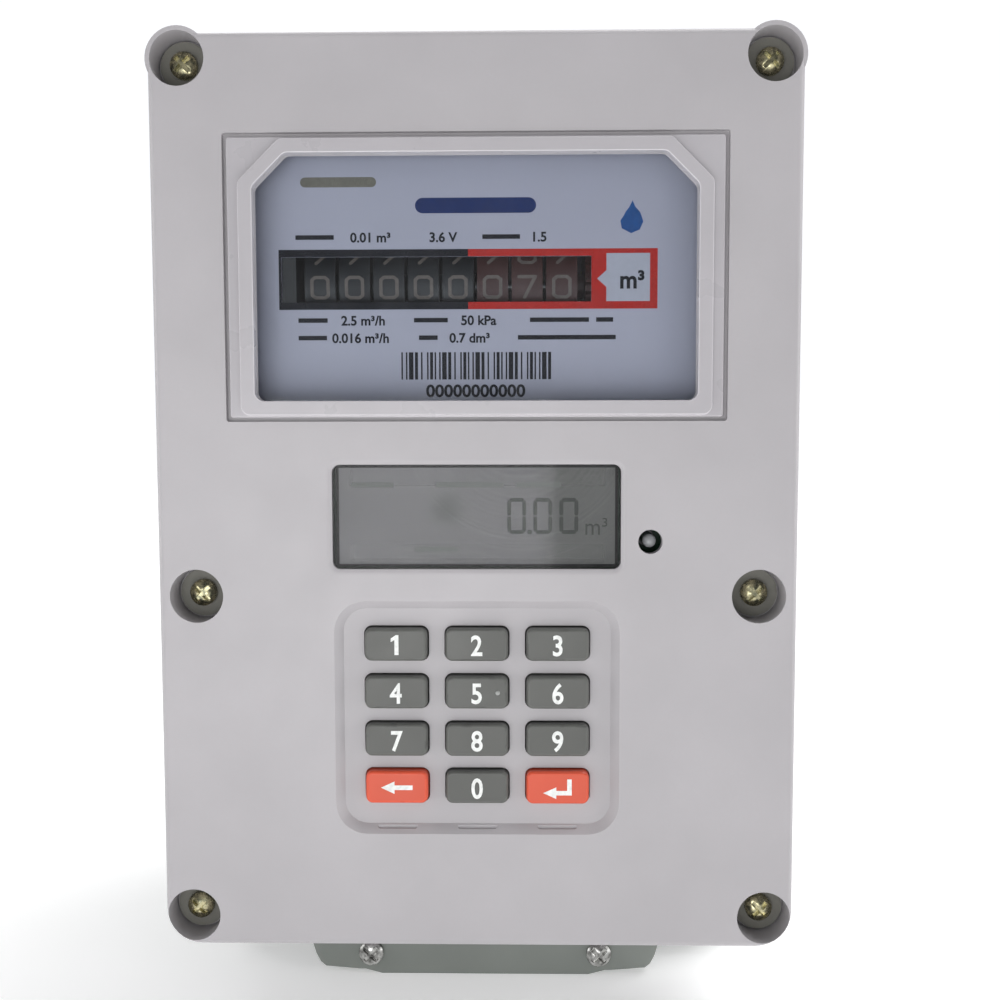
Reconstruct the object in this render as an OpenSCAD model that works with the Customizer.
// Prepaid gas meter: keypad control head on a diaphragm meter case.
// Millimetres, +Z up, front towards -Y. The origin is on the ground, under the
// middle of the meter. "Depth" is the distance behind the control head's face,
// and "rise" is the height above the control head's lower edge.

/* [Control head] */
// Width of the control head
head_w = 140; // [132:1:180]
// Height of the control head
head_h = 200; // [198:1:260]
// Depth of the control head, face to back
head_d = 48; // [46:1:70]
// Height of the head's lower edge above the ground
head_z = 30.7; // [28:0.1:40]
// Depth of the front cover
cover_d = 22; // [18:1:26]
// Thickness of the cover's face
face_t = 2.6; // [2.4:0.1:4]
// Thickness of the head's walls
wall_t = 2.4; // [2:0.1:3]
// Radius of the head's corners
corner_r = 8; // [6:0.5:12]
// Radius of the cover's front edge
edge_r = 1.4; // [0.8:0.1:2]
// Thickness of the gasket between cover and base
gasket_t = 1; // [0.6:0.1:2]

/* [Cover screws] */
// Radius of the well over each cover screw
well_r = 5.9; // [5:0.1:7]
// Depth of each screw well
well_d = 7.8; // [6:0.1:10]
// Wall around the wells at the two top corners
well_wall = 0.95; // [0.8:0.05:2]
// Distance from a side edge to the corner screws
screw_side = 6.4; // [6.2:0.1:9]
// Distance from the top edge to the upper screws
screw_top = 5.4; // [5.3:0.1:9]
// Distance from the lower edge to the lower screws
screw_low = 6.9; // [6.5:0.1:10]
// Distance from a side edge to the middle screws
mid_side = 8.4; // [7.5:0.1:12]
// Rise of the middle screws
mid_rise = 79; // [60:1:110]
// Radius of a cover screw's head
cover_head_r = 2.95; // [2.5:0.05:4]
// Radius of a cover screw's shank
cover_shank_r = 1.9; // [1.5:0.1:2.2]

/* [Register] */
// Rise of the register's centre
register_rise = 148.05; // [146:0.05:150]
// Width of the pocket for the register frame
pocket_w = 108.5; // [107:0.5:116]
// Height of the pocket for the register frame
pocket_h = 61.6; // [61:0.1:70]
// Depth of that pocket
pocket_d = 1.5; // [1:0.1:1.6]
// Groove left around the register frame
groove_w = 0.9; // [0.5:0.1:1.5]
// Width of the raised bezel
bezel_w = 101.7; // [99:0.1:105]
// Height of the bezel
bezel_h = 58.8; // [57:0.1:60]
// How far the bezel stands out from the face
bezel_out = 1; // [0.6:0.1:2]
// Width of the window opening
window_w = 95.5; // [90:0.1:97]
// Height of the window opening
window_h = 52.7; // [50:0.1:54]
// Cut across the window's two upper corners
window_cut = 7; // [4:0.5:10]
// Thickness of the clear window
window_t = 1.5; // [1:0.1:2.5]
// Depth of the nameplate's front
plate_depth = 10; // [8:0.5:12]
// Thickness of the nameplate
plate_t = 0.8; // [0.5:0.1:1.5]
// Width of the nameplate's slot for the number drums
slot_w = 69.4; // [66:0.1:72]
// Height of that slot
slot_h = 10.1; // [8:0.1:12]
// Sideways place of the slot's centre
slot_x = -9.2; // [-12:0.1:-6]
// Sideways place of the row of drums
drums_x = -8.3; // [-10:0.1:-7]
// Distance from one drum to the next
drum_pitch = 7.8; // [7.4:0.05:8.2]
// Gap between neighbouring drums
drum_gap = 0.8; // [0.5:0.1:1.2]
// Radius of a number drum
drum_r = 12.5; // [10:0.5:14]
// Radius of the shaft that the drums turn on
shaft_r = 1.25; // [1:0.05:2]

/* [Display] */
// Width of the display window
lcd_w = 63.1; // [56:0.1:72]
// Height of the display window
lcd_h = 22.9; // [18:0.1:26]
// Rise of the display's centre
lcd_rise = 96.4; // [94:0.1:98]
// Width of the sloped rim around the display window
lcd_rim = 1.2; // [0.6:0.1:2]
// Radius of the hole for the status light
led_hole_r = 2.65; // [2:0.05:4]
// Radius of the status light
led_r = 1.5; // [1:0.1:2.5]
// Sideways place of the status light
led_x = 37.9; // [36:0.1:45]
// Rise of the status light
led_rise = 91; // [84:0.5:100]

/* [Keypad] */
// Width of a key
key_w = 13.8; // [11:0.1:17]
// Height of a key
key_h = 7.3; // [6:0.1:8]
// Space between neighbouring columns
key_space_w = 4; // [3:0.1:6]
// Space between neighbouring rows
key_space_h = 3.35; // [2.6:0.05:5]
// Gap around a key in its opening
key_gap = 0.3; // [0.2:0.05:0.5]
// Height of a key above the keypad's floor
key_out = 2.2; // [1.5:0.1:2.6]
// Travel of a key
key_travel = 1.2; // [0.6:0.1:1.5]
// Depth of the keypad's dish
dish_d = 1.8; // [1:0.1:2.5]
// Margin of the dish beside the keys
dish_side = 6.7; // [4:0.1:10]
// Margin of the dish above the keys
dish_top = 6; // [4:0.1:9]
// Margin of the dish under the keys
dish_low = 7; // [4:0.1:9]
// Slope of the dish's walls, face to floor
dish_slope = 1.9; // [1:0.1:3]
// Rise of the dish's lower edge
dish_rise = 25.7; // [20:0.1:27]

/* [Bracket] */
// Thickness of the bracket
bracket_t = 2; // [1.5:0.1:3]
// Width of the bracket
bracket_w = 93.2; // [86:0.1:100]
// How far the bracket reaches below the head
bracket_low = 29.5; // [26:0.1:30]
// Rise of the bracket's upper edge
bracket_top = 136; // [132:1:150]
// Distance between the two lower bracket screws
bracket_pitch = 60.9; // [54:0.1:64]
// How far the lower bracket screws sit below the head
bracket_screw_low = 24.8; // [24:0.1:26]
// Radius of a bracket screw's head
bracket_head_r = 3.35; // [3:0.05:4]

/* [Meter case] */
// Width of the case's body
case_w = 144; // [130:1:150]
// Depth of the case's body
case_d = 80; // [76:1:100]
// Height of the case's top above the ground
case_top = 207; // [200:1:215]
// Height of the foot under the case
foot_h = 10.7; // [8:0.1:12]
// Height of the joint between the case's halves
seam_z = 130; // [126:1:134]
// Width of the flange around the joint
flange_out = 8; // [7:0.5:10]
// Thickness of each half's flange
flange_t = 4; // [3:0.5:5]
// Thickness of the case's walls
case_wall = 3; // [2:0.5:3.5]
// Radius of the case's upright corners
case_r = 14; // [12:1:18]
// Width of the foot
foot_w = 120; // [90:1:126]

/* [Pipe connections] */
// Distance between the two pipe connections
pipe_pitch = 98; // [90:1:100]
// Outer radius of a connection's thread
thread_r = 15; // [12:0.5:16]
// Distance of the connections behind the case's middle
pipe_back = 16; // [15:1:17]
// Bore radius of a connection
pipe_bore_r = 11; // [8:0.5:12]
// Length of a connection above the case
pipe_h = 28; // [20:1:34]

/* [Measuring unit] */
// Width of the measuring chamber
chamber_w = 100; // [94:1:104]
// Depth of the measuring chamber
chamber_d = 26; // [22:1:30]
// Height of the measuring chamber
chamber_h = 88; // [84:1:90]
// Radius of a diaphragm's pan
pan_r = 24; // [18:1:26]
// Radius of a diaphragm
skin_r = 34; // [30:1:35]
// Stroke of a diaphragm to each side
stroke = 5; // [3:0.5:5]

/* [Hidden] */
$fn = 64;
KEYS = ["1", "2", "3", "4", "5", "6", "7", "8", "9", "back", "0", "enter"];

// Places of the head and the case
case_depth = head_d + bracket_t + 0.5 + flange_out + case_d / 2;
total_d = bezel_out + case_depth + case_d / 2 + flange_out;
face_y = bezel_out - total_d / 2;
back_in = head_d - wall_t;
base_front = cover_d + gasket_t;
fit_gap = 0.3;
running_gap = 0.05;

// Screw places on the head: [x, rise]
top_screws = [for (s = [-1, 1]) [s * (head_w / 2 - screw_side), head_h - screw_top]];
low_screws = [for (s = [-1, 1]) [s * (head_w / 2 - screw_side), screw_low]];
mid_screws = [for (s = [-1, 1]) [s * (head_w / 2 - mid_side), mid_rise]];
all_screws = concat(top_screws, low_screws, mid_screws);
tower_r = well_r + 1.5;
seal_r = well_r - 0.5;
seal_t = 1.2;
pan_head_h = 2.7;

// Keypad
key_step_x = key_w + key_space_w;
key_step_z = key_h + key_space_h;
dish_w = 3 * key_w + 2 * key_space_w + 2 * dish_side;
dish_h = 4 * key_h + 3 * key_space_h + dish_top + dish_low;
dish_mid = dish_rise + dish_h / 2;
low_row_rise = dish_rise + dish_low + key_h / 2;
keypad_mid = low_row_rise + 1.5 * key_step_z;
dish_floor_t = 1.6;
key_flange = 0.8;
key_flange_t = 1;
key_flange_depth = dish_d + dish_floor_t + fit_gap;
key_r = 1.5;
board_depth = 12;
board_t = 1.6;
dome_h = 2.5;
mat_t = 2.2;
dome_top = board_depth - mat_t - dome_h;
key_stem_end = dome_top - key_travel - fit_gap;

// Number drums and their drive
drum_w = drum_pitch - drum_gap;
axle_depth = plate_depth + plate_t + 1.2 + drum_r;
axle_rise = register_rise + 0.9;
tooth_step = PI;
bar_h = 1.5;
drum_teeth = 20;
drum_gear_r = drum_teeth * tooth_step / (2 * PI);
drum_gear_t = 1.6;
drum_hub = 2;
drum_gear_x = drums_x + 3.5 * drum_pitch + drum_w / 2 + drum_hub;
crown_bars = 24;
crown_r = crown_bars * tooth_step / (2 * PI);
crown_depth = axle_depth + drum_gear_r + 0.4;
crown_x = drum_gear_x + drum_gear_t / 2 + crown_r;
magnet_r = 9;
magnet_t = 4.6;
magnet_gap = 0.4;
pivot_r = 1.5;
pinion_shaft_r = 0.8;
pinion_drop = drum_r + 2.5;
pinion_depth = axle_depth + 6;
cheek_t = 2;
cheek_left = drums_x - 4 * drum_pitch - 1.2;
cheek_right = drum_gear_x + drum_gear_t + 1;
cheek_back = pinion_depth + 2.5;
cheek_low = pinion_drop + 2;
plate_w = window_w + 7.5;
plate_h = window_h + 6;

// Electronics
board_w = 104;
board_h = 96;
board_rise = 62;
board_posts = [for (s = [-1, 1]) for (r = [20, 104]) [s * 46, r]];
lcd_lip = 1;
lcd_lip_t = 0.6;
cell_r = 7.25;
cell_len = 50.5;
cell_rise = 46;
cell_depth = back_in - cell_r - 1.5;

// Bracket and its screws: [x, rise]
low_fixings = [for (s = [-1, 1]) [s * bracket_pitch / 2, -bracket_screw_low]];
top_fixings = [for (s = [-1, 1]) [s * bracket_pitch / 2, bracket_top - 7]];
head_fixings = [for (s = [-1, 1]) for (r = [15, 88]) [s * 38, r]];
fold_x = 33.6;
fold_rise = 21;
fix_r = 1.8;
fix_head_h = wall_t;

// Meter case, measured from the ground
case_in_w = case_w - 2 * case_wall;
case_in_d = case_d - 2 * case_wall;
case_front_y = -case_d / 2;
seam_gap = 2;
lower_top = seam_z - seam_gap / 2;
upper_low = seam_z + seam_gap / 2;
flange_w = case_w + 2 * flange_out;
flange_d = case_d + 2 * flange_out;
drive_x = crown_x;
drive_z = head_z + axle_rise;

// Measuring unit, measured from the ground
chamber_z = foot_h + case_wall + 4;
chamber_top = chamber_z + chamber_h;
wheel_bars = 33;
wheel_r = wheel_bars * tooth_step / (2 * PI);
pinion_teeth = 11;
pinion_r = pinion_teeth * tooth_step / (2 * PI);
wheel_y = case_front_y + case_wall + 8 + wheel_r;
wheel_z = drive_z - pinion_r - 0.4;
flag_x = chamber_w / 2 + 5;
flag_rod_r = 1.6;
flag_y = chamber_d / 2 + 8;
flag_arm_z = chamber_z + chamber_h / 2;
seat_t = 4;
seat_z = chamber_top + seat_t;
duct_r = pipe_bore_r - fit_gap;
duct_wall = 1.5;
duct_z = chamber_top + 24;
duct_foot = [8, 4];

// Shut-off valve under the inlet
spigot_in = 15;
spigot_low = case_top - spigot_in;
plunger_r = thread_r - 1.5;
plunger_t = 4;
valve_stroke = 11.5;
plunger_z = spigot_low - 0.3 - valve_stroke - plunger_t;
motor_r = 13;
motor_top = plunger_z - 9;
motor_h = 42;
stem_r = 2.5;

// ---- Shared shapes -------------------------------------------------------

// A rectangle with round corners, about the origin
module rounded_rect(w, h, r) {
    square([w - 2 * r, h], center = true);
    square([w, h - 2 * r], center = true);
    for (x = [-1, 1])
        for (y = [-1, 1])
            translate([x * (w / 2 - r), y * (h / 2 - r)]) circle(r);
}

// A 2D shape in X and rise, made solid from depth d0 to depth d1
module to_depth(d0, d1) {
    translate([0, d1, 0]) rotate([90, 0, 0]) linear_extrude(d1 - d0) children();
}

// A round-cornered slab between two depths, centred on [x, rise]
module slab(w, h, r, d0, d1, at = [0, 0]) {
    to_depth(d0, d1) translate(at) rounded_rect(w, h, r);
}

// A rod along the depth, centred on [x, rise]
module rod(r, d0, d1, at = [0, 0]) {
    translate([at[0], d1, at[1]]) rotate([90, 0, 0]) cylinder(r = r, h = d1 - d0);
}

// A rod along X
module cross_rod(r, x0, x1) {
    translate([x0, 0, 0]) rotate([0, 90, 0]) cylinder(r = r, h = x1 - x0);
}

// A block with round upright corners and a round top edge
module pillow(w, d, h, r, edge) {
    steps = 5;
    hull() {
        linear_extrude(h - edge) rounded_rect(w, d, r, $fn = 32);
        for (i = [1:steps])
            let (a = 90 * i / steps, inset = edge * (1 - cos(a)))
                translate([0, 0, h - edge]) linear_extrude(edge * sin(a))
                    rounded_rect(w - 2 * inset, d - 2 * inset, r - inset, $fn = 32);
    }
}

// A pan-head screw with a crossed recess: head towards -Y, seat at depth 0
module pan_screw(head_r, head_h, shank_r, length) {
    dome_r = 1.35 * head_r;
    difference() {
        intersection() {
            rod(head_r, -head_h, 0);
            translate([0, dome_r - head_h, 0]) sphere(dome_r);
        }
        for (a = [45, 135])
            rotate([0, a, 0]) translate([-0.72 * head_r, -head_h - 0.1, -0.16 * head_r])
                cube([1.44 * head_r, 0.62 * head_h, 0.32 * head_r]);
    }
    rod(shank_r, 0, length);
}

// A wheel of straight teeth in 2D
module toothed_disc(pitch_r, teeth) {
    circle(pitch_r - 1.1);
    for (i = [0:teeth - 1])
        rotate(360 * i / teeth)
            polygon([[pitch_r - 1.4, -0.75], [pitch_r + 0.75, -0.3],
                     [pitch_r + 0.75, 0.3], [pitch_r - 1.4, 0.75]]);
}

// A ring of radial bars standing on +Z, with a gap facing +X
module crown_ring(pitch_r, bars) {
    for (i = [0:bars - 1])
        rotate(360 * (i + 0.5) / bars) translate([pitch_r - 1.6, -0.4, 0])
            cube([3.2, 0.8, bar_h + 0.1]);
}

module in_head() translate([0, face_y, head_z]) children();
module in_case() translate([0, face_y + case_depth, 0]) children();

// ---- Control head shells -------------------------------------------------

module head_outline(inset = 0) {
    translate([0, head_h / 2])
        rounded_rect(head_w - 2 * inset, head_h - 2 * inset, corner_r - inset);
    for (p = top_screws)
        translate(p) circle(well_r + well_wall - inset);
}

module cavity_outline() {
    difference() {
        translate([0, head_h / 2])
            rounded_rect(head_w - 2 * wall_t, head_h - 2 * wall_t, corner_r - wall_t);
        for (p = all_screws)
            translate(p) circle(tower_r);
    }
}

module cover_block() {
    translate([0, cover_d, head_h / 2]) rotate([90, 0, 0])
        pillow(head_w, head_h, cover_d, corner_r, edge_r);
    for (p = top_screws)
        rod(well_r + well_wall, 0.4, cover_d, p);
}

// Outline of the register's window, larger or smaller by grow on every side
module window_outline(w, h, cut) {
    offset(r = 2, $fn = 32) offset(delta = -2)
        polygon([[-w / 2, -h / 2], [w / 2, -h / 2], [w / 2, h / 2 - cut],
                 [w / 2 - cut, h / 2], [cut - w / 2, h / 2], [-w / 2, h / 2 - cut]]);
}

module window_cutter(d0, d1) {
    to_depth(d0, d1) translate([0, register_rise])
        window_outline(window_w, window_h, window_cut);
}

module display_opening() {
    slab(lcd_w, lcd_h, 1.75, -1, face_t + 1, [0, lcd_rise]);
    hull() {
        slab(lcd_w + 2 * lcd_rim, lcd_h + 2 * lcd_rim, 1.75 + lcd_rim, -1, 0,
             [0, lcd_rise]);
        slab(lcd_w, lcd_h, 1.75, -1, lcd_rim / 2, [0, lcd_rise]);
    }
}

module keypad_dish() {
    hull() {
        slab(dish_w, dish_h, 7, -1, 0, [0, dish_mid], $fn = 32);
        slab(dish_w - 2 * dish_slope, dish_h - 2 * dish_slope, 7 - dish_slope, -1,
             dish_d, [0, dish_mid], $fn = 32);
    }
    for (c = [-1:1])
        slab(8.8, 1.6, 0.5, -1, dish_d - 0.3,
             [c * key_step_x, dish_rise + dish_slope - 0.2]);
}

module key_places() {
    for (i = [0:11])
        translate(key_place(i)) children();
}

function key_place(i) =
    [(i % 3 - 1) * key_step_x, 0, low_row_rise + (3 - floor(i / 3)) * key_step_z];

module front_cover() {
    color("#c3c2c7") in_head() difference() {
        cover_block();
        difference() {
            to_depth(face_t, cover_d + 1) cavity_outline();
            slab(dish_w + 2, dish_h + 2, 8, face_t - 1, dish_d + dish_floor_t,
                 [0, dish_mid]);
        }
        for (p = all_screws) {
            rod(well_r, -2, well_d, p);
            rod(cover_shank_r + fit_gap, 0, cover_d + 1, p);
        }
        slab(pocket_w, pocket_h, 0.6, -1, pocket_d, [0, register_rise]);
        window_cutter(-1, face_t + 1);
        display_opening();
        rod(led_hole_r, -1, face_t + 1, [led_x, led_rise]);
        keypad_dish();
        key_places() slab(key_w + 2 * key_gap, key_h + 2 * key_gap, key_r + key_gap,
                          0, dish_d + dish_floor_t + 1);
    }
}

module register_frame() {
    color("#c9c8cd") in_head() difference() {
        union() {
            slab(pocket_w - 2 * groove_w, pocket_h - 2 * groove_w, 0.6, 0.2, pocket_d,
                 [0, register_rise]);
            to_depth(-bezel_out, pocket_d) translate([0, register_rise])
                window_outline(bezel_w, bezel_h, window_cut + 2);
        }
        window_cutter(-bezel_out - 1, pocket_d + 1);
    }
}

module register_window() {
    color("lightcyan", 0.35) in_head()
        slab(window_w + 4, window_h + 4, 2, face_t, face_t + window_t,
             [0, register_rise]);
}

module lcd_window() {
    color("#30363a", 0.6) in_head() {
        slab(lcd_w - 0.2, lcd_h - 0.2, 1.65, lcd_rim / 2 + 0.1, face_t, [0, lcd_rise]);
        slab(lcd_w + 2 * lcd_lip, lcd_h + 2 * lcd_lip, 1.75, face_t, face_t + lcd_lip_t,
             [0, lcd_rise]);
    }
}

module status_led() {
    color("dimgray") in_head() {
        rod(led_r, face_t, board_depth, [led_x, led_rise]);
        translate([led_x, face_t, led_rise]) sphere(led_r);
        rod(led_r + 0.4, board_depth - 1, board_depth, [led_x, led_rise]);
    }
}

module cover_gasket() {
    color("#3a3a3a") in_head() to_depth(cover_d, base_front) difference() {
        head_outline(0.4);
        cavity_outline();
        for (p = all_screws)
            translate(p) circle(cover_shank_r + fit_gap);
    }
}

module head_base() {
    color("#bcbbc0") in_head() difference() {
        union() {
            difference() {
                to_depth(base_front, head_d) head_outline();
                to_depth(base_front - 1, back_in) cavity_outline();
            }
            for (p = board_posts)
                rod(4, board_depth + board_t, back_in + 0.5, p);
            rod(pivot_r, crown_depth + 2, back_in + 0.5, [crown_x, axle_rise]);
        }
        for (p = all_screws)
            rod(cover_shank_r, base_front - 1, base_front + 12, p);
        for (p = board_posts)
            rod(1.3, board_depth, board_depth + board_t + 12, p);
        for (p = top_fixings)
            rod(bracket_head_r + fit_gap, back_in - 1, head_d + 1, p);
        for (p = head_fixings)
            rod(fix_r + fit_gap, back_in - 1, head_d + 1, p);
    }
}

module cover_screws() {
    color("#c9b872") in_head() for (p = all_screws)
        translate([p[0], well_d - seal_t, p[1]])
            pan_screw(cover_head_r, pan_head_h, cover_shank_r - running_gap,
                      base_front + 10 - well_d);
}

module screw_seals() {
    color("#33332f") in_head() for (p = all_screws) difference() {
        rod(seal_r, well_d - seal_t, well_d, p);
        rod(cover_shank_r + running_gap, well_d - seal_t - 1, well_d + 1, p);
    }
}

// ---- Register ------------------------------------------------------------

module nameplate() {
    color("#9aa0b4") in_head() to_depth(plate_depth, plate_depth + plate_t)
        difference() {
            translate([0, register_rise]) rounded_rect(plate_w, plate_h, 1.5);
            translate([slot_x, axle_rise]) square([slot_w, slot_h], center = true);
        }
}

module index_frame() {
    front = plate_depth + plate_t;
    legs = [for (x = [-1, 1]) for (z = [-1, 1])
            [x * (plate_w / 2 - 3.5), register_rise + z * (plate_h / 2 - 3.5)]];
    color("#26282a") in_head() {
        difference() {
            union() {
                slab(plate_w, plate_h, 1.5, front, front + 1.2, [0, register_rise]);
                for (x = [cheek_left - cheek_t, cheek_right])
                    translate([x, front + 1, axle_rise - cheek_low])
                        cube([cheek_t, cheek_back - front - 1, cheek_low + drum_r]);
            }
            slab(cheek_right - cheek_left, 2 * drum_r + 1.5, 0.5, front - 1, front + 3,
                 [(cheek_right + cheek_left) / 2, axle_rise]);
            translate([0, axle_depth, axle_rise])
                cross_rod(shaft_r + 0.02, -head_w / 2, head_w / 2);
            translate([0, pinion_depth, axle_rise - pinion_drop])
                cross_rod(pinion_shaft_r, -head_w / 2, head_w / 2);
        }
        for (p = legs)
            rod(3, front + 1.2, back_in, p);
    }
}

module drum_shaft() {
    color("silver") in_head() translate([0, axle_depth, axle_rise])
        cross_rod(shaft_r, cheek_left - cheek_t, cheek_right + cheek_t);
}

// One number drum; the last one carries the toothed wheel that drives the row
module drum(i) {
    x0 = drums_x + (i - 4.5) * drum_pitch - drum_w / 2;
    color(i > 5 ? "#5c2620" : "#25211e") in_head()
        translate([x0, axle_depth, axle_rise]) difference() {
            union() {
                difference() {
                    cross_rod(drum_r, 0, drum_w);
                    cross_rod(drum_r - 1.5, -1, 1.5);
                    cross_rod(drum_r - 1.5, drum_w - 1.5, drum_w + 1);
                }
                cross_rod(3, 0, drum_w + (i == 8 ? drum_hub + drum_gear_t : 0));
                if (i == 8)
                    translate([drum_w + drum_hub, 0, 0]) rotate([0, 90, 0])
                        linear_extrude(drum_gear_t)
                            toothed_disc(drum_gear_r, drum_teeth);
            }
            cross_rod(shaft_r + running_gap, -1, drum_w + drum_hub + drum_gear_t + 1);
        }
}

module carry_pinions() {
    color("ivory") in_head()
        translate([0, pinion_depth, axle_rise - pinion_drop]) {
            cross_rod(pinion_shaft_r - 0.02, cheek_left - cheek_t,
                      cheek_right + cheek_t);
            for (i = [1:7])
                translate([drums_x + (i - 4) * drum_pitch, 0, 0])
                    rotate([0, 90, 0]) linear_extrude(4, center = true)
                        difference() {
                            union() {
                                circle(1.8);
                                for (a = [0:45:135])
                                    rotate(a) square([5, 0.7], center = true);
                            }
                            circle(pinion_shaft_r);
                        }
        }
}

// Crown wheel of the register, with the magnet that the case's shaft turns
module index_gear() {
    magnet_back = back_in - crown_depth - magnet_gap;
    color("#d8c98a") in_head() translate([crown_x, crown_depth, axle_rise])
        difference() {
            union() {
                rotate([90, 0, 0]) rotate(180) translate([0, 0, -bar_h])
                    crown_ring(crown_r, crown_bars);
                rod(crown_r + 1.6, bar_h, bar_h + 1.5);
                rod(3, bar_h + 1, magnet_back - magnet_t + 0.5);
                rod(magnet_r, magnet_back - magnet_t, magnet_back);
            }
            rod(pivot_r + running_gap, 1.9, magnet_back + 1);
        }
}

// ---- Electronics ---------------------------------------------------------

module main_board() {
    color("#1f5c3a") in_head() difference() {
        slab(board_w, board_h, 2, board_depth, board_depth + board_t, [0, board_rise]);
        for (p = board_posts)
            rod(1.6, board_depth - 1, board_depth + board_t + 1, p);
    }
}

module board_parts() {
    back = board_depth + board_t;
    color("#222222") in_head() {
        slab(12, 12, 0.4, back, back + 1.6, [-14, 84]);
        slab(9, 7, 0.4, back, back + 1.4, [8, 88]);
        slab(6, 8, 0.4, back, back + 1.4, [24, 84]);
        slab(16, 5, 0.4, back, back + 6, [-20, 22]);
        slab(10, 5, 0.4, back, back + 6, [20, 22]);
        for (i = [0:4])
            slab(3, 1.6, 0.2, back, back + 0.8, [-22 + 9 * i, 72]);
    }
}

module lcd_panel() {
    color("#80867f") in_head() {
        slab(lcd_w - 1, lcd_h - 0.4, 0.4, face_t + lcd_lip_t, face_t + 3, [0, lcd_rise]);
        slab(lcd_w - 6, 4, 0.4, face_t + 3, board_depth, [0, lcd_rise - lcd_h / 2 + 3]);
        slab(lcd_w - 6, 4, 0.4, face_t + 3, board_depth, [0, lcd_rise + lcd_h / 2 - 3]);
    }
}

module key_mat() {
    color("#4a4d4b") in_head() {
        slab(dish_w - 3, dish_h - 8, 3, board_depth - mat_t, board_depth,
             [0, keypad_mid]);
        key_places() rod(3, dome_top, board_depth - mat_t);
    }
}

module key(i) {
    place = key_place(i);
    orange = i == 9 || i == 11;
    color(orange ? "#f07046" : "#707571") in_head() translate(place) {
        hull() {
            slab(key_w, key_h, key_r, dish_d - key_out + 0.5, key_flange_depth,
                 $fn = 32);
            slab(key_w - 0.9, key_h - 0.9, key_r - 0.45, dish_d - key_out,
                 key_flange_depth, $fn = 32);
        }
        slab(key_w + 2 * key_flange, key_h + 2 * key_flange, key_r + key_flange,
             key_flange_depth, key_flange_depth + key_flange_t);
        rod(2.2, key_flange_depth + key_flange_t, key_stem_end);
    }
}

module battery_cell() {
    color("#3c6ea5") in_head() translate([0, cell_depth, cell_rise]) {
        cross_rod(cell_r, -cell_len / 2, cell_len / 2 - 1.5);
        cross_rod(2.6, cell_len / 2 - 1.5, cell_len / 2);
    }
}

module battery_holder() {
    w = cell_len + 8;
    h = 2 * cell_r + 4;
    color("#2b2b2b") in_head() difference() {
        slab(w, h, 1.5, cell_depth - 3, back_in, [0, cell_rise]);
        translate([0, cell_depth, cell_rise])
            cross_rod(cell_r + 0.2, -cell_len / 2, cell_len / 2);
        slab(cell_len, 2 * cell_r + 0.4, 0.2, cell_depth - 4, cell_depth, [0, cell_rise]);
    }
}

module sounder() {
    color("#151515") in_head() difference() {
        rod(6, board_depth + board_t, board_depth + board_t + 7, [38, 60]);
        rod(1.2, board_depth + board_t + 5, board_depth + board_t + 8, [38, 60]);
    }
}

module board_screws() {
    color("silver") in_head() for (p = board_posts)
        translate([p[0], board_depth, p[1]]) pan_screw(2.6, 1.6, 1.25, 9);
}

// ---- Bracket -------------------------------------------------------------

module bracket_outline() {
    half = bracket_w / 2;
    polygon([[-half, bracket_top], [half, bracket_top], [half, -fold_rise],
             [fold_x, -bracket_low], [-fold_x, -bracket_low], [-half, -fold_rise]]);
    polygon([[-fold_x + 1.5, -bracket_low + 1], [fold_x - 1.5, -bracket_low + 1],
             [fold_x - 1.5, -bracket_low], [fold_x - 6, -head_z],
             [6 - fold_x, -head_z], [1.5 - fold_x, -bracket_low]]);
}

// A lower corner, folded back from the bracket's front
module folded_corner(side) {
    half = bracket_w / 2;
    back = 1.5;
    hull() {
        to_depth(0, bracket_t) polygon([
            [side * half, -fold_rise], [side * fold_x, -bracket_low],
            [side * (half - 1), -fold_rise - 0.5]]);
        to_depth(back, bracket_t + back) polygon([
            [side * (half - 0.3), -fold_rise - 2], [side * (half - 1), -fold_rise - 5],
            [side * (half - 2.2), -fold_rise - 7.3], [side * (half - 3.6), -bracket_low]]);
    }
}

module mounting_bracket() {
    color("#787d78") in_head() translate([0, head_d, 0]) difference() {
        union() {
            to_depth(0, bracket_t) bracket_outline();
            for (side = [-1, 1])
                folded_corner(side);
        }
        for (p = concat(low_fixings, top_fixings, head_fixings))
            rod(fix_r + fit_gap, -1, bracket_t + 1, p);
    }
}

module bracket_screws() {
    color("#d5d6d2") in_head() for (p = concat(low_fixings, top_fixings))
        translate([p[0], head_d, p[1]])
            pan_screw(bracket_head_r, fix_head_h, fix_r - running_gap, 11);
}

module head_screws() {
    color("silver") in_head() for (p = head_fixings) {
        translate([p[0], back_in, p[1]])
            pan_screw(3.2, 2, fix_r - running_gap, wall_t + bracket_t + 3.5);
        difference() {
            rod(3.4, head_d + bracket_t, head_d + bracket_t + 2.6, p, $fn = 6);
            rod(fix_r, head_d + bracket_t - 1, head_d + bracket_t + 4, p);
        }
    }
}

// ---- Meter case ----------------------------------------------------------

flange_screws = concat(
    [for (x = [-50, 0, 50]) for (s = [-1, 1]) [x, s * (case_d + flange_out) / 2]],
    [for (y = [-20, 20]) for (s = [-1, 1]) [s * (case_w + flange_out) / 2, y]]);

// A place on the head, [x, rise], as the case sees it: [x, height]
function on_case(p) = [p[0], p[1] + head_z];
bracket_back = head_d + bracket_t - case_depth;

module flange_holes(z) {
    for (p = flange_screws)
        translate([p[0], p[1], z - 1]) cylinder(r = 2.2, h = flange_t + 2);
}

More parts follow.
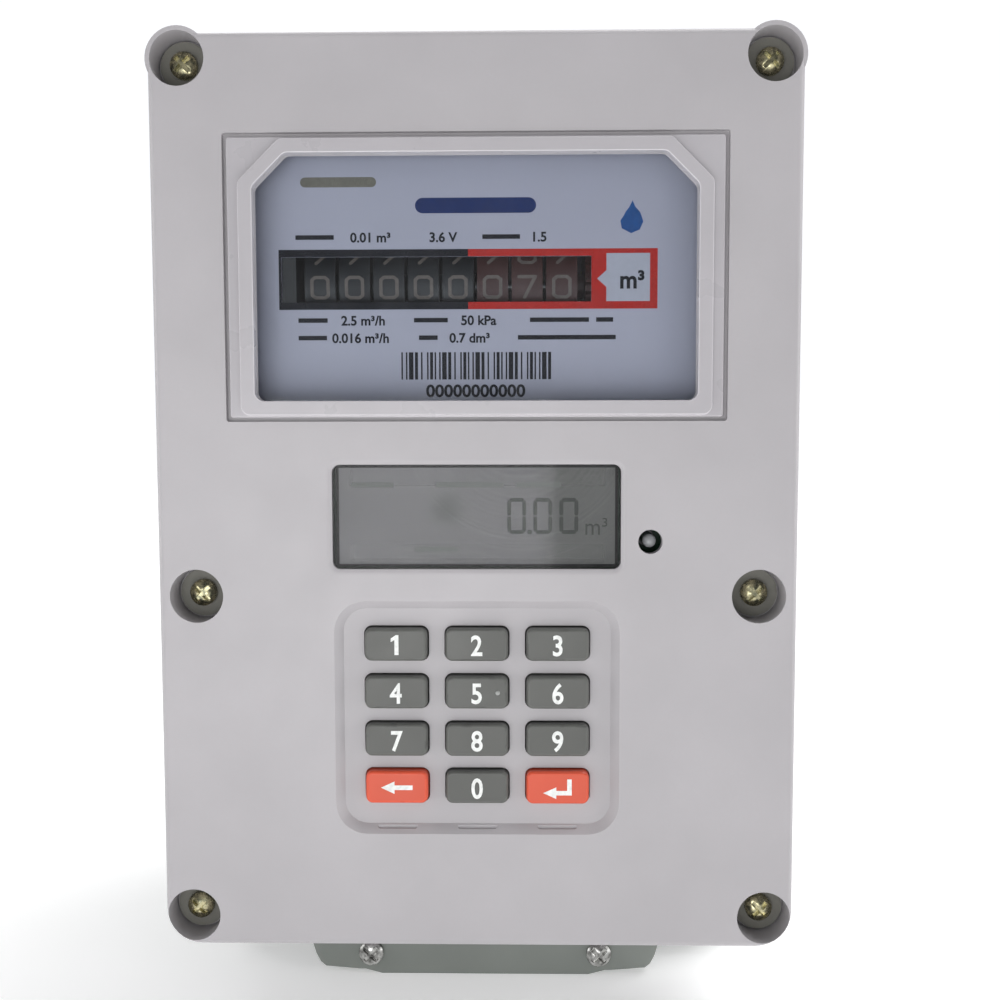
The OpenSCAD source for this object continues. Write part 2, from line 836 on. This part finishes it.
module case_lower() {
    flange_z = lower_top - flange_t;
    color("#8a8f8b") in_case() difference() {
        union() {
            translate([0, 0, lower_top]) mirror([0, 0, 1])
                pillow(case_w, case_d, lower_top - foot_h, case_r, 5);
            translate([0, 0, flange_z]) linear_extrude(flange_t)
                rounded_rect(flange_w, flange_d, case_r + flange_out);
            translate([0, 2, 0]) linear_extrude(foot_h + 2)
                rounded_rect(foot_w, case_d - 16, 8);
            translate([0, bracket_back, 0])
                slab(72, 9.5, 1.5, 0, case_d / 4, [0, foot_h - 3.9]);
        }
        translate([0, 0, lower_top + 1]) mirror([0, 0, 1])
            pillow(case_in_w, case_in_d, lower_top + 1 - foot_h - case_wall,
                   case_r - case_wall, 4);
        flange_holes(flange_z);
        for (p = low_fixings)
            rod(fix_r, bracket_back - 1, bracket_back + 12, on_case(p));
    }
}

module case_upper() {
    color("#8a8f8b") in_case() difference() {
        union() {
            difference() {
                translate([0, 0, upper_low])
                    pillow(case_w, case_d, case_top - upper_low, case_r, 4);
                translate([0, 0, upper_low - 1])
                    pillow(case_in_w, case_in_d, case_top - case_wall - upper_low + 1,
                           case_r - case_wall, 3);
            }
            translate([0, 0, upper_low]) linear_extrude(flange_t) difference() {
                rounded_rect(flange_w, flange_d, case_r + flange_out);
                rounded_rect(case_in_w, case_in_d, case_r - case_wall);
            }
            for (p = top_fixings)
                rod(5, bracket_back, case_front_y + 1, on_case(p));
            rod(pivot_r, case_front_y + 1, case_front_y + case_wall + 6,
                [drive_x, drive_z]);
        }
        flange_holes(upper_low);
        for (p = top_fixings)
            rod(fix_r, bracket_back - 1, bracket_back + 10, on_case(p));
        for (s = [-1, 1])
            translate([s * pipe_pitch / 2, pipe_back, case_top - 10])
                cylinder(r = thread_r + 0.1, h = 20);
    }
}

module case_gasket() {
    color("#23262a") in_case() translate([0, 0, lower_top])
        linear_extrude(seam_gap) difference() {
            rounded_rect(flange_w - 1, flange_d - 1, case_r + flange_out - 0.5);
            rounded_rect(case_in_w, case_in_d, case_r - case_wall);
            for (p = flange_screws)
                translate(p) circle(2.2);
        }
}

module case_screws() {
    grip = 2 * flange_t + seam_gap;
    color("silver") in_case() for (p = flange_screws)
        translate([p[0], p[1], upper_low + flange_t]) {
            rotate([-90, 0, 0]) pan_screw(3, 2.4, 2, grip + 4.5);
            translate([0, 0, -grip - 3]) difference() {
                cylinder(r = 3.4, h = 3, $fn = 6);
                translate([0, 0, -1]) cylinder(r = 2, h = 5);
            }
        }
}

// ---- Pipe connections and shut-off valve ---------------------------------

module at_pipe(side) {
    translate([side * pipe_pitch / 2, pipe_back, 0]) children();
}

collar_r = thread_r + 3;
seal_ring_t = 1.5;

module pipe_spigots() {
    color("#b9bcb6") in_case() for (side = [-1, 1]) at_pipe(side) difference() {
        union() {
            translate([0, 0, spigot_low])
                cylinder(r = thread_r, h = spigot_in + pipe_h);
            translate([0, 0, case_top + seal_ring_t]) cylinder(r = collar_r, h = 4);
            translate([0, 0, spigot_low + 7])
                cylinder(r = collar_r, h = spigot_in - case_wall - 7);
        }
        translate([0, 0, spigot_low - 1])
            cylinder(r = pipe_bore_r, h = spigot_in + pipe_h + 2);
    }
}

module spigot_seals() {
    color("#1d1f22") in_case() for (side = [-1, 1]) at_pipe(side)
        translate([0, 0, case_top]) difference() {
            cylinder(r = collar_r - 0.5, h = seal_ring_t);
            translate([0, 0, -1]) cylinder(r = thread_r, h = seal_ring_t + 2);
        }
}

module shutoff_valve() {
    cage_r = thread_r + 2;
    color("#3b4650") in_case() at_pipe(-1) {
        translate([0, 0, spigot_low]) difference() {
            cylinder(r = cage_r, h = 6);
            translate([0, 0, -1]) cylinder(r = thread_r, h = 8);
        }
        for (a = [30, 150, 270])
            rotate(a) translate([cage_r - 1.6, -2, motor_top - 4])
                cube([1.6, 4, spigot_low - motor_top + 6]);
        translate([0, 0, motor_top - motor_h]) difference() {
            union() {
                cylinder(r = motor_r, h = motor_h);
                translate([0, 0, motor_h - 4]) cylinder(r = cage_r - 0.5, h = 4);
            }
            translate([0, 0, motor_h - 30])
                cylinder(r = stem_r + running_gap, h = 31);
        }
    }
}

module valve_plunger() {
    color("#cfd3d6") in_case() at_pipe(-1) {
        translate([0, 0, plunger_z]) cylinder(r = plunger_r, h = plunger_t);
        translate([0, 0, motor_top - 18])
            cylinder(r = stem_r, h = plunger_z - motor_top + 19);
    }
}

// ---- Measuring unit ------------------------------------------------------

// Runs of the outlet's duct: up from the chamber, across, and up to the outlet
module duct_runs(r, foot_z, bend_z, top_z) {
    run = [pipe_pitch / 2, pipe_back] - duct_foot;
    translate([pipe_pitch / 2, pipe_back, bend_z])
        cylinder(r = r, h = top_z - bend_z);
    translate([duct_foot[0], duct_foot[1], duct_z])
        rotate(atan2(run[1], run[0])) rotate([0, 90, 0])
            cylinder(r = r - 3, h = norm(run));
    translate([duct_foot[0], duct_foot[1], foot_z])
        cylinder(r = r - 2, h = duct_z - foot_z);
}

module chamber_body() {
    bowl_d = chamber_d / 2 - 2.5;
    color("#d9d4c4") in_case() difference() {
        union() {
            slab(chamber_w, chamber_h, 8, -chamber_d / 2, chamber_d / 2,
                 [0, chamber_z + chamber_h / 2]);
            for (z = [chamber_z, chamber_top - 4])
                for (a = [0, 180])
                    rotate(a) translate([-flag_x - 4, -flag_y - 4, z])
                        cube([14, 14, 4]);
            translate([drive_x, wheel_y, chamber_top - 1])
                cylinder(r = 20, h = seat_t + 1);
            translate([drive_x, wheel_y, chamber_top])
                cylinder(r = pivot_r, h = seat_t + 9);
            duct_runs(duct_r, chamber_top - 1, duct_z - 9, spigot_low + 6);
            for (s = [-1, 1])
                translate([s * 34 - 6, -chamber_d / 2, chamber_z - 4])
                    cube([12, chamber_d, 5]);
        }
        for (a = [0, 180])
            rotate(a)
                rod(skin_r + 2, -chamber_d / 2 - 1, -chamber_d / 2 + bowl_d,
                    [0, chamber_z + chamber_h / 2]);
        for (a = [0, 180])
            rotate(a) translate([-flag_x, -flag_y, chamber_z - 1])
                cylinder(r = flag_rod_r + running_gap, h = chamber_h + 2);
        duct_runs(duct_r - duct_wall, chamber_top + 1, duct_z - 6, spigot_low + 7);
    }
}

// A diaphragm with its two pans and the ears that its flag's pin works in
module diaphragm(a) {
    lug_y = flag_y - chamber_d / 2;
    color("#6b4d3a") in_case() rotate(a)
        translate([0, -chamber_d / 2, chamber_z + chamber_h / 2]) {
            rod(skin_r, 0.5, 1.5);
            rod(pan_r, -1, 0.5);
            rod(pan_r, 1.5, 2.5);
            for (z = [-5.5, 3.5])
                translate([0, 0, z]) linear_extrude(2) difference() {
                    translate([-4, -lug_y - 3]) square([8, lug_y + 2.5]);
                    for (x = [-0.7, 0.7])
                        translate([x, -lug_y]) circle(1.35);
                    translate([0, -lug_y]) square([1.4, 2.7], center = true);
                }
        }
}

// A flag: upright rod, the arm that works a diaphragm and the arm to the crank
module flag(a) {
    color("#9fa4a6") in_case() rotate(a) translate([-flag_x, -flag_y, 0]) {
        translate([0, 0, chamber_z - 2])
            cylinder(r = flag_rod_r, h = chamber_h + 12);
        translate([0, -1, flag_arm_z - 2.5]) cube([flag_x - 1, 2, 5]);
        translate([flag_x, 0, flag_arm_z - 3]) cylinder(r = 2.4, h = 6);
        translate([flag_x, 0, flag_arm_z - 6]) cylinder(r = 1.2, h = 12);
        translate([0, 0, flag_arm_z - 4]) cylinder(r = 3, h = 8);
        translate([0, -2.5, chamber_top + 5]) cube([20, 5, 2.5]);
    }
}

// Rotary valve on its seat, with the crank pin and the wheel that drives the register
module rotary_valve() {
    color("#c9a24a") in_case() translate([drive_x, wheel_y, 0]) difference() {
        union() {
            translate([0, 0, seat_z + 0.2]) cylinder(r = 16, h = 4);
            translate([10, 0, seat_z + 4]) cylinder(r = 2, h = 6);
            translate([0, 0, seat_z + 4])
                cylinder(r = 3, h = wheel_z - bar_h - seat_z - 5);
            translate([0, 0, wheel_z - bar_h - 2])
                cylinder(r = wheel_r + 1.6, h = 2);
            translate([0, 0, wheel_z - bar_h]) rotate(-90)
                crown_ring(wheel_r, wheel_bars);
        }
        translate([0, 0, seat_z - 1]) cylinder(r = pivot_r + running_gap, h = 11);
        translate([-11, 0, seat_z - 1]) cylinder(r = 3.5, h = 3.5);
    }
}

// Magnet, shaft and pinion that carry the wheel's motion to the register
module drive_shaft() {
    magnet_y = case_front_y + case_wall + magnet_gap;
    pinion_y = wheel_y - wheel_r;
    color("#b7babc") in_case() translate([drive_x, 0, drive_z]) difference() {
        union() {
            rod(magnet_r, magnet_y, magnet_y + magnet_t - 1);
            rod(3, magnet_y + 1, pinion_y + 1);
            to_depth(pinion_y - 1, pinion_y + 1) rotate(-90)
                toothed_disc(pinion_r, pinion_teeth);
        }
        rod(pivot_r + running_gap, magnet_y - 1, magnet_y + 6);
    }
}

// ---- Assembly ------------------------------------------------------------

front_cover();
register_frame();
register_window();
lcd_window();
status_led();
cover_gasket();
head_base();
cover_screws();
screw_seals();
nameplate();
index_frame();
drum_shaft();
carry_pinions();
index_gear();
main_board();
board_parts();
lcd_panel();
key_mat();
battery_cell();
battery_holder();
sounder();
board_screws();
mounting_bracket();
bracket_screws();
head_screws();
case_lower();
case_upper();
case_gasket();
case_screws();
pipe_spigots();
spigot_seals();
shutoff_valve();
valve_plunger();
chamber_body();
diaphragm(0);  // diaphragm_front
diaphragm(180);  // diaphragm_back
flag(0);  // flag_front
flag(180);  // flag_back
rotary_valve();
drive_shaft();
for (i = [1:8])
    drum(i);
for (i = [0:11])
    key(i);
